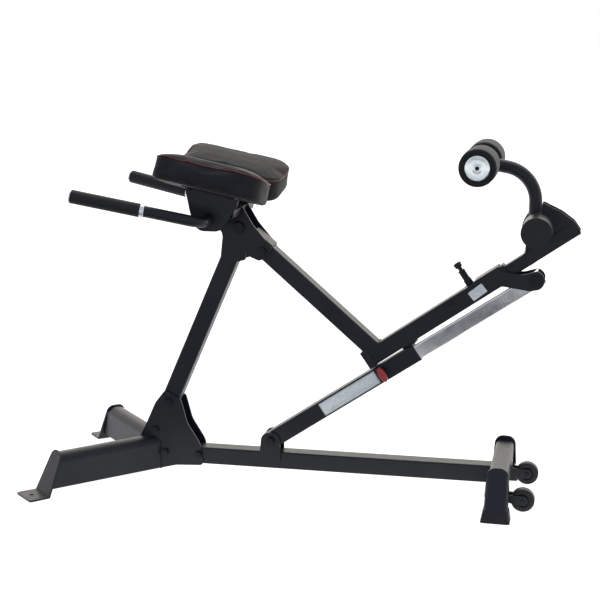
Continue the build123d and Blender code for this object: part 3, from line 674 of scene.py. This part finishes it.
def build_pads():
    place = pad_frame()
    cushion = cushion_mesh()
    for polygon in cushion.polygons:
        polygon.use_smooth = True
    seam_height = PAD_TOP - SEAM_DROP
    seam = on_surface(cushion, seam_line(seam_height, 0.0, 0.004), 0.0)
    pinch_seam(cushion, seam, 0.0016, 0.007)
    low_seam = on_surface(cushion, seam_line(PAD_BOTTOM + 0.006, 0.0, 0.004), 0.0)
    pinch_seam(cushion, low_seam, 0.0012, 0.006)
    welt_line = on_surface(cushion, seam_line(seam_height, 0.0, 0.0025), 0.0010)
    welt = smooth_mesh("piping", lambda bm: tube_rings(bm, welt_line, [0.0019] * len(welt_line), 10, True))
    upper = on_surface(cushion, seam_line(PAD_TOP - 0.0006, 0.0085, 0.0012), 0.0002)
    lower = on_surface(cushion, seam_line(seam_height - 0.006, 0.0, 0.0012), 0.0002)

    def stitches(bm):
        stitch_mesh(bm, upper, 0.0032, 0.0014, 0.0005)
        stitch_mesh(bm, lower, 0.0032, 0.0014, 0.0005)

    stitching = smooth_mesh("stitching", stitches)
    for mesh in (cushion, welt, stitching):
        mesh.transform(place)
    for side in ("left", "right"):
        kind = (lambda m, n: m.copy()) if side == "left" else mirrored
        cover = kind(cushion, "thigh_cushion_" + side)
        pad = slot_piece("thigh_cushion_" + side, cover, "black_upholstery", "tilt_frame")
        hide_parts("thigh_pad_" + side)
        new_piece("thigh_piping_" + side, kind(welt, "piping_" + side), RED_PIPING, "tilt_frame")
        new_piece("thigh_stitching_" + side, kind(stitching, "stitching_" + side), THREAD, "tilt_frame")


# ---------------------------------------------------------------- rollers, grips and wheels
def roller_profile(inner, outer, start, end):
    """Foam sleeve, slightly crowned, with soft ends round the bore."""
    half = (end - start) / 2
    profile = [(inner, start + 0.002), (inner + 0.004, start + 0.0005), (outer - 0.014, start + 0.0002)]
    for k in range(7):
        a = math.radians(15 * k)
        profile.append((outer - 0.0075 + 0.0065 * math.sin(a), start + 0.0068 - 0.0065 * math.cos(a)))
    for k in range(1, 12):
        t = -1 + k / 6
        profile.append((outer - 0.001 + 0.0009 * (1 - t * t), start + half + t * (half - 0.008)))
    for k in range(7):
        a = math.radians(90 - 15 * k)
        profile.append((outer - 0.0075 + 0.0065 * math.sin(a), end - 0.0068 + 0.0065 * math.cos(a)))
    profile += [(outer - 0.014, end - 0.0002), (inner + 0.004, end - 0.0005), (inner, end - 0.002)]
    profile.append((inner, start + 0.002))
    return profile


ROLLER_BORE = 0.01205
ROLLER_CAP_THICK = 0.0025


def build_roller_sleeve(node, place):
    low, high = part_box(node)
    start, end = sorted((abs(low.y), abs(high.y)))
    profile = roller_profile(ROLLER_BORE, (high.x - low.x) / 2, start, end)
    mesh = smooth_mesh(node + "_sleeve", lambda bm: lathe(bm, profile, 96), place, 50)
    sleeve = slot_piece(node + "_sleeve", mesh, "roller_foam", node)
    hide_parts(node)


def build_roller_cap(name, place, finish):
    """Dished metal disc with a button screw in its middle."""
    disc = [(0.0, 0.0), (0.0292, 0.0), (0.0295, 0.0006), (0.0293, 0.0017), (0.0284, 0.0024)]
    disc += [(0.0262, 0.0025), (0.0250, 0.0021), (0.0160, 0.0018), (0.0105, 0.0019), (0.0092, 0.0024)]
    disc += [(0.0078, 0.0024), (0.0072, 0.0020), (0.0060, 0.0019), (0.0, 0.0019)]
    mesh = smooth_mesh("roller_end_cap_" + name, lambda bm: lathe(bm, disc, 96), place, 40)
    cap = new_piece("roller_end_cap_" + name, mesh, finish, "foot_slide")
    if name == "left":
        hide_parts("roller_caps")
    screw = [(0.0, 0.0015), (0.0050, 0.0015), (0.0052, 0.0023), (0.0047, 0.0028), (0.0030, 0.0028)]
    screw += [(0.0024, 0.0021), (0.0, 0.0019)]
    mesh = smooth_mesh("roller_cap_screw_" + name, lambda bm: lathe(bm, screw, 24), place, 40)
    slot_piece("roller_cap_screw_" + name, mesh, "black_fasteners", "foot_slide")


def build_rollers():
    cap_low, cap_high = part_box("roller_caps")
    cap_finish = turned_face((cap_low + cap_high) / 2)
    for name, sign in (("left", -1), ("right", 1)):
        node = "ankle_roller_" + name
        low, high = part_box(node)
        middle = Vector(((low.x + high.x) / 2, 0, (low.z + high.z) / 2))
        place = axes_frame(middle, Vector((1, 0, 0)), Vector((0, 0, -sign)), Vector((0, sign, 0)))
        build_roller_sleeve(node, place)
        cap_place = place @ Matrix.Translation((0, 0, cap_high.y - ROLLER_CAP_THICK))
        build_roller_cap(name, cap_place, cap_finish)


GRIP_TIP = tip(-532.5, -231.0, 770.0)
GRIP_CORNER = tip(-216.0, -179.7, 706.0)
GRIP_START = 0.004
GRIP_LENGTH = 0.172
GRIP_RING = 0.011
GRIP_RADIUS = 0.017
ARM_RADIUS = 0.01405


def build_grips():
    """Ribbed rubber sleeves with a turned ring at one end and a domed cap at the other."""
    back = (GRIP_CORNER - GRIP_TIP).normalized()
    side = back.cross(Vector((0, 0, 1))).normalized()
    place = axes_frame(GRIP_TIP, side, back.cross(side), back)
    start, end = GRIP_START, GRIP_START + GRIP_LENGTH
    sleeve = [(ARM_RADIUS, start), (GRIP_RADIUS - 0.0012, start), (GRIP_RADIUS, start + 0.0014)]
    ribs = 44
    for k in range(ribs + 1):
        middle = start + 0.006 + (GRIP_LENGTH - 0.012) * k / ribs
        sleeve += [(GRIP_RADIUS, middle - 0.0011), (GRIP_RADIUS - 0.00035, middle)]
        sleeve += [(GRIP_RADIUS, middle + 0.0011)]
    sleeve += [(GRIP_RADIUS, end - 0.0014), (GRIP_RADIUS - 0.0012, end)]
    sleeve += [(ARM_RADIUS, end), (ARM_RADIUS, start)]
    ring_end = end + GRIP_RING
    ring = [(ARM_RADIUS, end), (0.0158, end), (0.0165, end + 0.0008), (0.0165, end + 0.0042)]
    ring += [(0.0160, end + 0.0047), (0.0160, end + 0.0063), (0.0165, end + 0.0068)]
    ring += [(0.0165, ring_end - 0.0009), (0.0157, ring_end), (ARM_RADIUS, ring_end), (ARM_RADIUS, end)]
    dome = [(0.0, start), (0.0166, start), (0.0170, start - 0.0008), (0.0168, start - 0.0022)]
    dome += [(0.0155, start - 0.0035), (0.0120, start - 0.0040), (0.0, start - 0.0040)]
    for name, mirror in (("left", False), ("right", True)):
        parts = [
            ("hand_grip_" + name, sleeve, "black_rubber", "handle_grips"),
            ("grip_ring_" + name, ring, "brushed_trim", "grip_collars"),
            ("grip_end_cap_" + name, dome, "brushed_trim", None),
        ]
        for piece_name, profile, slot, node in parts:
            mesh = smooth_mesh(piece_name, lambda bm: lathe(bm, profile, 48), place, 35)
            if mirror:
                mesh = mirrored(mesh, piece_name + "_mesh")
            piece = slot_piece(piece_name, mesh, slot, "tilt_frame")
            if node and not mirror:
                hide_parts(node)


# ---------------------------------------------------------------- labels
def slab_piece(name, outline, thickness, place, material, body):
    mesh = smooth_mesh(name, lambda bm: bevelled_slab(bm, outline, thickness, thickness * 0.3), place, 30)
    return new_piece(name, mesh, material, body)


STRUT_LABEL_ALONG = 0.249  # from the strut's lower pivot to the label's middle
STRUT_LABEL_HALF = (0.086, 0.0175)
LABEL_FILM_THICK = 0.0003
LABEL_INK_THICK = 0.00006


def raised_bar(bm, x, y, half_x, half_y, thickness):
    signs = ((-1, -1), (1, -1), (1, 1), (-1, 1))
    verts = [bm.verts.new((x + sx * half_x, y + sy * half_y, 0)) for sx, sy in signs]
    raised = bmesh.ops.extrude_face_region(bm, geom=[bm.faces.new(verts)])
    upper = [v for v in raised["geom"] if isinstance(v, bmesh.types.BMVert)]
    bmesh.ops.translate(bm, vec=(0, 0, thickness), verts=upper)


def label_printing(bm):
    """Thin border, and a plain even row of ticks on a line."""
    bars = [(0, 0.0160, 0.0845, 0.0005), (0, -0.0160, 0.0845, 0.0005)]
    bars += [(-0.0845, 0, 0.0005, 0.0165), (0.0845, 0, 0.0005, 0.0165)]
    for k in range(33):
        tall = 0.0042 if k % 4 == 0 else 0.0022
        bars.append((-0.072 + 0.0045 * k, -0.0105 + tall / 2, 0.00025, tall / 2))
    bars.append((0, -0.0108, 0.0725, 0.00025))
    for x, y, half_x, half_y in bars:
        raised_bar(bm, x, y, half_x, half_y, LABEL_INK_THICK)


def strut_label():
    """Blank pale film on the strut's left face, with a thin printed border and a plain scale."""
    axis = Vector([j for j in frame["joints"] if j["name"] == "strut_slide"][0]["axis"]).normalized()
    low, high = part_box("strut_lower_bolt")
    pivot = (low + high) / 2
    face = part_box("strut_outer_tube")[0].y
    up = Vector((0, -1, 0)).cross(axis).normalized()
    origin = Vector((pivot.x, face, pivot.z)) + axis * STRUT_LABEL_ALONG
    place = axes_frame(origin, axis, up, Vector((0, -1, 0)))
    outline = rounded_outline(*STRUT_LABEL_HALF, [0.0015] * 4, 3)
    slab_piece("strut_label", outline, LABEL_FILM_THICK, place, LABEL_FILM, "strut_outer")
    ink_place = place @ Matrix.Translation((0, 0, LABEL_FILM_THICK))
    mesh = smooth_mesh("strut_label_print", label_printing, ink_place, 30)
    new_piece("strut_label_print", mesh, LABEL_INK, "strut_outer")


CLEVIS_LABEL_CORNERS = ((423, 528), (455, 553), (473, 537), (440, 509))


def clevis_label():
    """Small blank plate on the left clevis plate."""
    corners = [tip(x, 0, z) for x, z in CLEVIS_LABEL_CORNERS]
    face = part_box("strut_clevis_plates")[0].y
    middle = sum(corners, Vector()) / 4
    length = (corners[1] - corners[0] + corners[2] - corners[3]).normalized()
    up = Vector((0, -1, 0)).cross(length).normalized()
    half_length = ((corners[1] - corners[0]).length + (corners[2] - corners[3]).length) / 4
    half_width = ((corners[0] - corners[3]).length + (corners[1] - corners[2]).length) / 4
    place = axes_frame(Vector((middle.x, face, middle.z)), length, up, Vector((0, -1, 0)))
    outline = rounded_outline(half_length, half_width, [0.002] * 4, 4)
    slab_piece("clevis_label", outline, 0.0004, place, LABEL_FILM, "tilt_frame")


# ---------------------------------------------------------------- welds
TUBE_HALF = 22.0
DOWN_SPOT, DOWN_ANGLE = (48.7, 491.7), -41.0
FOOT_SPOT, FOOT_ANGLE = (318.8, 444.6), 34.61


def on_foot_tube_top(across):
    """Distance along the foot tube where a line of the down tube, at that height across it, meets its top."""
    start = along(DOWN_SPOT, DOWN_ANGLE, 0, across)
    c, s = math.cos(math.radians(FOOT_ANGLE)), math.sin(math.radians(FOOT_ANGLE))
    dc, ds = math.cos(math.radians(DOWN_ANGLE)), math.sin(math.radians(DOWN_ANGLE))
    height = -(start[0] - FOOT_SPOT[0]) * s + (start[1] - FOOT_SPOT[1]) * c
    rate = -dc * s + ds * c
    reach = (TUBE_HALF - height) / rate
    x, z = start[0] + dc * reach, start[1] + ds * reach
    return (x - FOOT_SPOT[0]) * c + (z - FOOT_SPOT[1]) * s


LEG_WELD_LENGTH = 0.0678  # of a front leg's cut end, along the gusset
BASE_TUBE_END = (493.0, 63.0)
BRACKET_WELD_RUN = (300, 436)  # along the foot tube's line


def down_tube_weld():
    near, far = on_foot_tube_top(-TUBE_HALF), on_foot_tube_top(TUBE_HALF)
    corners = []
    for reach, side in ((near, -1), (far, -1), (far, 1), (near, 1)):
        x, z = along(FOOT_SPOT, FOOT_ANGLE, reach, TUBE_HALF + 0.4)
        corners.append(tip(x, side * (TUBE_HALF - 0.5), z))
    weld_bead("down_tube_weld", corners, 0.0024, "tilt_frame", closed=True)


def base_tube_weld():
    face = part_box("rear_crossbar")[0].x - 0.0004
    middle = tip(BASE_TUBE_END[0], 0, BASE_TUBE_END[1]).z
    half = 0.0225
    ring = [Vector((face, y, middle + z)) for y, z in rounded_outline(half, half, [0.004] * 4, 3)]
    weld_bead("base_tube_weld", ring, 0.0022, "base_frame", closed=True)


def front_leg_weld(name, side):
    low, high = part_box("front_leg_" + name)
    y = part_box("base_gussets")[1].y * side + side * 0.0003
    first, last = high.x - LEG_WELD_LENGTH, high.x
    top = high.z
    edge = [(first, low.z), (first, top - 0.018), (first + 0.010, top - 0.004), (first + 0.024, top)]
    edge += [(last - 0.024, top), (last - 0.010, top - 0.004), (last, top - 0.018), (last, low.z)]
    weld_bead("front_leg_weld_" + name, [Vector((x, y, z)) for x, z in edge], 0.0022, "base_frame")


def foot_bar_weld(name, side):
    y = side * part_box("foot_brackets")[1].y
    low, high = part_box("lower_foot_bars")
    middle = (low + high) / 2
    radius = (high.x - low.x) / 2
    circle = []
    for k in range(48):
        a = 2 * math.pi * k / 48
        circle.append(Vector((middle.x + radius * math.cos(a), y, middle.z + radius * math.sin(a))))
    weld_bead("foot_bar_weld_" + name, circle, 0.0020, "foot_slide", closed=True)


def foot_bracket_weld(name, side):
    run = [along(FOOT_SPOT, FOOT_ANGLE, reach, 16.3) for reach in BRACKET_WELD_RUN]
    points = [tip(x, side * 20.2, z) for x, z in run]
    weld_bead("foot_bracket_weld_" + name, points, 0.0017, "foot_slide")


def strut_bracket_weld(name, side):
    low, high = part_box("strut_brackets")
    x, y = low.x + 0.001, side * (high.y - 0.0042)
    corners = [Vector((x, y, low.z + 0.003)), Vector((x, y, 0.084))]
    weld_bead("strut_bracket_weld_" + name, corners, 0.0016, "base_frame")


def build_welds():
    down_tube_weld()
    base_tube_weld()
    for name, side in (("left", -1), ("right", 1)):
        front_leg_weld(name, side)
        foot_bar_weld(name, side)
        foot_bracket_weld(name, side)
        strut_bracket_weld(name, side)


# ---------------------------------------------------------------- small fittings
FOOT_PIN_ALONG = 147.0
FOOT_PIN_HOUSING = 0.042  # its length out of the tube
FOOT_SCREW_SPOT = (382.0, 496.0)


def foot_pin_frame():
    """On the foot tube's middle line under the pull pin, with local z out of its upper face."""
    slope = math.radians(FOOT_ANGLE) + FRAME_SLOPE
    c, s = math.cos(slope), math.sin(slope)
    x, z = along(FOOT_SPOT, FOOT_ANGLE, FOOT_PIN_ALONG)
    return axes_frame(tip(x, 0, z), Vector((0, -1, 0)), Vector((c, 0, s)), Vector((-s, 0, c)))


def build_fittings():
    """Turned details on the pull pin, and the button screw on the foot tube's side."""
    place = foot_pin_frame()
    face = TUBE_HALF / 1000
    collar = [(0.0080, face + 0.012), (0.0098, face + 0.0125), (0.0101, face + 0.0140)]
    collar += [(0.0097, face + 0.0155), (0.0085, face + 0.0168), (0.0085, face + 0.0375)]
    collar += [(0.0091, face + 0.0384), (0.0091, face + 0.0410), (0.0084, face + 0.0419)]
    collar += [(0.0080, face + 0.0419), (0.0080, face + 0.012)]
    mesh = smooth_mesh("foot_pin_barrel", lambda bm: lathe(bm, collar, 40), place, 35)
    slot_piece("foot_pin_barrel", mesh, "black_fasteners", "tilt_frame")

    top = face + FOOT_PIN_HOUSING
    knob = [(0.0, top + 0.0012), (0.0046, top + 0.0012), (0.0050, top + 0.0035), (0.0058, top + 0.0075)]
    knob += [(0.0075, top + 0.0110), (0.0094, top + 0.0140), (0.0102, top + 0.0165)]
    knob += [(0.0099, top + 0.0190), (0.0078, top + 0.0210), (0.0040, top + 0.0219), (0.0, top + 0.0221)]
    mesh = smooth_mesh("foot_pin_knob", lambda bm: lathe(bm, knob, 40), place)
    slot_piece("foot_pin_knob", mesh, "black_plastic", "foot_pin")

    spot = tip(FOOT_SCREW_SPOT[0], -TUBE_HALF, FOOT_SCREW_SPOT[1])
    screw_place = axes_frame(spot, Vector((1, 0, 0)), Vector((0, 0, 1)), Vector((0, -1, 0)))
    head = [(0.0, 0.0), (0.0062, 0.0), (0.0060, 0.0012), (0.0048, 0.0022), (0.0028, 0.0026)]
    head += [(0.0024, 0.0014), (0.0, 0.0012)]
    mesh = smooth_mesh("foot_tube_screw", lambda bm: lathe(bm, head, 28), screw_place, 40)
    slot_piece("foot_tube_screw", mesh, "black_fasteners", "tilt_frame")


# ---------------------------------------------------------------- studio
FLOOR_RADIUS = 60.0
FLAG_HALF_WIDTH = 4.5
FLAG_HEIGHT = 0.002
FLAG_RUNS = (("near_flag", -0.42, -1.15), ("far_flag", -1.45, -3.40))
ROOM_STRENGTH = 2.3


def build_floor():
    mesh = bpy.data.meshes.new("studio_floor")
    bm = bmesh.new()
    bmesh.ops.create_circle(bm, cap_ends=True, radius=FLOOR_RADIUS, segments=96)
    bm.to_mesh(mesh)
    bm.free()
    floor = bpy.data.objects.new("studio_floor", mesh)
    mesh.materials.append(floor_finish())
    SCENE.collection.objects.link(floor)


def area_light(name, spot, target, size, power, colour):
    light = bpy.data.lights.new(name, "AREA")
    light.shape = "RECTANGLE"
    light.size, light.size_y = size
    light.energy = power
    light.color = colour
    lamp = bpy.data.objects.new(name, light)
    lamp.location = spot
    lamp.rotation_euler = (Vector(target) - Vector(spot)).to_track_quat("-Z", "Y").to_euler()
    SCENE.collection.objects.link(lamp)


def build_world():
    """Bright wall and ceiling behind the object, a dim room in front; the backdrop itself shows white."""
    world = bpy.data.worlds.new("studio")
    world.use_nodes = True
    tree = world.node_tree
    room = tree.nodes["Background"]
    room.inputs["Strength"].default_value = ROOM_STRENGTH
    direction = tree.nodes.new("ShaderNodeTexCoord").outputs["Generated"]
    split = tree.nodes.new("ShaderNodeSeparateXYZ")
    tree.links.new(direction, split.inputs["Vector"])
    spread = tree.nodes.new("ShaderNodeMapRange")
    spread.inputs["From Min"].default_value = -1.0
    tree.links.new(split.outputs["Y"], spread.inputs["Value"])
    ramp = tree.nodes.new("ShaderNodeValToRGB")
    stops = [(0.0, (0.23, 0.26, 0.33)), (0.45, (0.26, 0.28, 0.33))]
    stops += [(0.62, (0.52, 0.51, 0.50)), (1.0, (0.92, 0.88, 0.81))]
    while len(ramp.color_ramp.elements) < len(stops):
        ramp.color_ramp.elements.new(0.5)
    for element, (position, colour) in zip(ramp.color_ramp.elements, stops):
        element.position = position
        element.color = (*colour, 1.0)
    tree.links.new(spread.outputs["Result"], ramp.inputs["Fac"])
    tree.links.new(ramp.outputs["Color"], room.inputs["Color"])
    backdrop = tree.nodes.new("ShaderNodeBackground")
    backdrop.inputs["Color"].default_value = (1.0, 1.0, 1.0, 1.0)
    seen = tree.nodes.new("ShaderNodeLightPath").outputs["Is Camera Ray"]
    mix = tree.nodes.new("ShaderNodeMixShader")
    tree.links.new(seen, mix.inputs["Fac"])
    tree.links.new(room.outputs["Background"], mix.inputs[1])
    tree.links.new(backdrop.outputs["Background"], mix.inputs[2])
    tree.links.new(mix.outputs["Shader"], tree.nodes["World Output"].inputs["Surface"])
    SCENE.world = world


def build_flags():
    """Dark cards on the floor in front, which only darken what the near sides reflect."""
    f = Finish("studio_flag_finish", 0.9)
    f.colour(f.ramp(f.noise(3.0, 2.0), [(0.3, (0.04, 0.042, 0.05)), (0.7, (0.06, 0.063, 0.07))]))
    half, up = FLAG_HALF_WIDTH, FLAG_HEIGHT
    for name, near, far in FLAG_RUNS:
        mesh = bpy.data.meshes.new(name)
        corners = [(-half, far, up), (half, far, up), (half, near, up), (-half, near, up)]
        mesh.from_pydata(corners, [], [(0, 1, 2, 3)])
        mesh.materials.append(f.material)
        flag = bpy.data.objects.new(name, mesh)
        flag.visible_camera = False
        flag.visible_shadow = False
        SCENE.collection.objects.link(flag)


def build_lights():
    build_world()
    build_flags()
    area_light("overhead_softbox", (0.6, 1.2, 3.2), (0.0, 0.0, 0.4), (3.2, 2.4), 30.0, (1.0, 0.95, 0.88))
    area_light("side_softbox", (-3.4, -1.4, 1.6), (-0.3, 0.0, 0.3), (1.6, 1.6), 1.5, (1.0, 0.95, 0.9))


def build_camera():
    data = bpy.data.cameras.new("camera")
    data.sensor_width = 36.0
    data.lens = 83.17
    data.clip_end = 200.0
    camera = bpy.data.objects.new("camera", data)
    right = Vector((0.97809, 0.20787, 0.01178))
    up = Vector((-0.05245, 0.19125, 0.98014))
    back = Vector((0.20149, -0.95928, 0.19796))
    camera.matrix_world = axes_frame(Vector((0.70281, -3.40451, 1.18955)), right, up, back)
    SCENE.collection.objects.link(camera)
    SCENE.camera = camera
    SCENE.view_settings.view_transform = "Standard"


paint_cad_nodes()
build_camera()
build_pads()
build_rollers()
build_grips()
strut_label()
clevis_label()
build_welds()
build_fittings()
build_floor()
build_lights()
